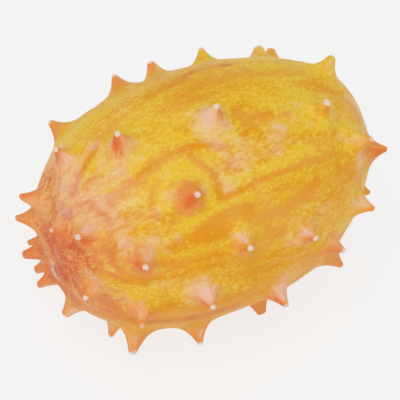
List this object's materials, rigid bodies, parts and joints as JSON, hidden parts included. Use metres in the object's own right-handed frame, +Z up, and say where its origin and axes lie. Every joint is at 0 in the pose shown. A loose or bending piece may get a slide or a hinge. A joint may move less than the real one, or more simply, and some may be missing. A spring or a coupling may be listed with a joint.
{
  "type": "horned melon",
  "caption": "Ripe horned melon (kiwano) lying on its side: a barrel of mottled yellow and orange rind studded all over with blunt conical horns, with a corky stalk scar at one end.",
  "frame": {"origin": "on the surface the fruit rests on, under the middle of its box", "axes": "+X along the fruit from the stalk scar to the blossom end, +Y across it, +Z up"},
  "size_m": [0.1216, 0.0905, 0.0872],
  "materials": {
    "rind": "waxy satin rind, yellow mottled with orange, orange-red under pale horn tips"
  },
  "bodies": {
    "root": {"horned_melon": "rind"}
  },
  "joints": []
}
